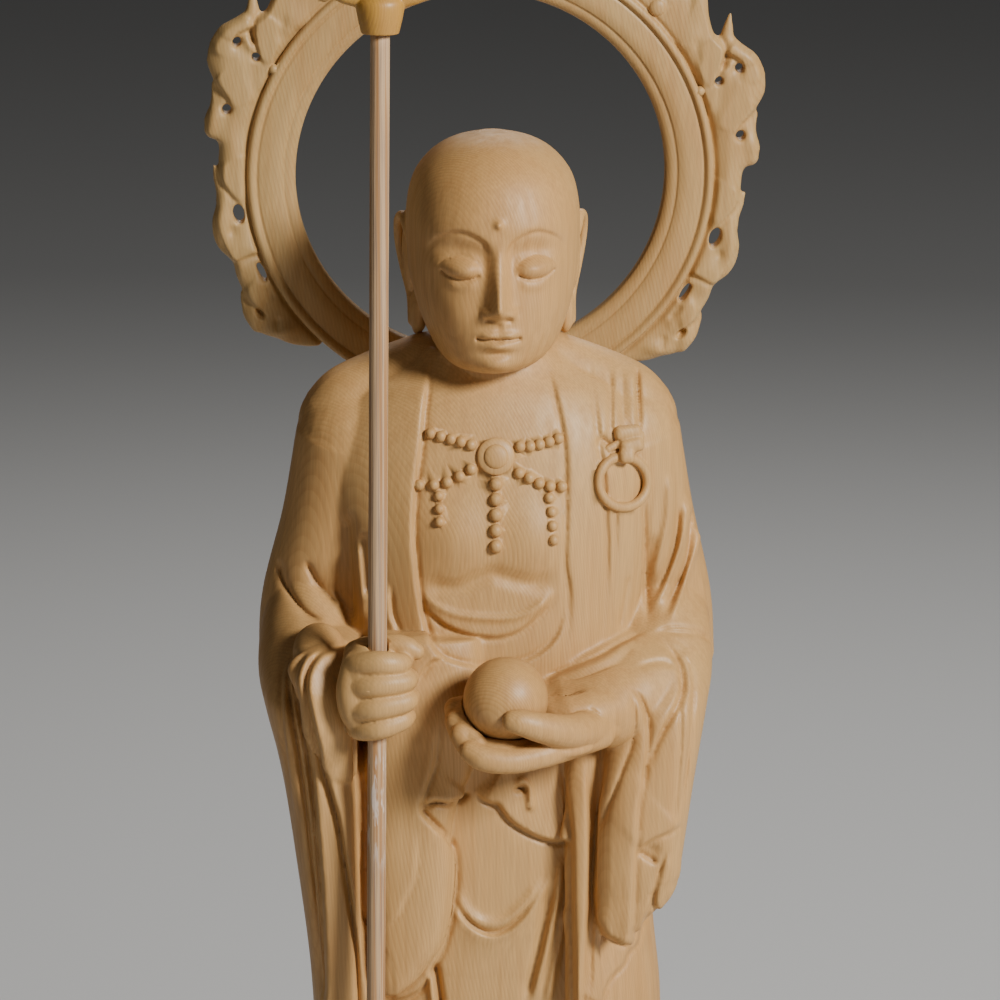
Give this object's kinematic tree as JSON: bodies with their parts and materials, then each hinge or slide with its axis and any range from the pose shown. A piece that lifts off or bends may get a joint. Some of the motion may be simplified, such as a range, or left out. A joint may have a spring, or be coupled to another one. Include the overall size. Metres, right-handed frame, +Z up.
{
  "type": "standing jizo statue",
  "caption": "Carved wooden jizo standing on a lotus base, with a pilgrim's staff, a wish jewel in the palm and a ring halo with a flame border.",
  "frame": {"origin": "centre of the base's flat underside", "axes": "+Z up, the figure looks along -Y, +X is to the right of someone who faces it"},
  "size_m": [0.0965, 0.0952, 0.3326],
  "materials": {
    "boxwood": "carved and burnished, satin",
    "jewel_wood": "turned and polished, satin",
    "staff_wood": "split bamboo, rubbed smooth",
    "finial_wood": "carved and waxed",
    "halo_wood": "carved, left from the knife",
    "base_wood": "turned and carved, satin"
  },
  "bodies": {
    "root": {"figure": "boxwood", "jewel": "jewel_wood", "staff_shaft": "staff_wood", "staff_finial": "finial_wood", "halo": "halo_wood", "base": "base_wood"}
  },
  "joints": []
}
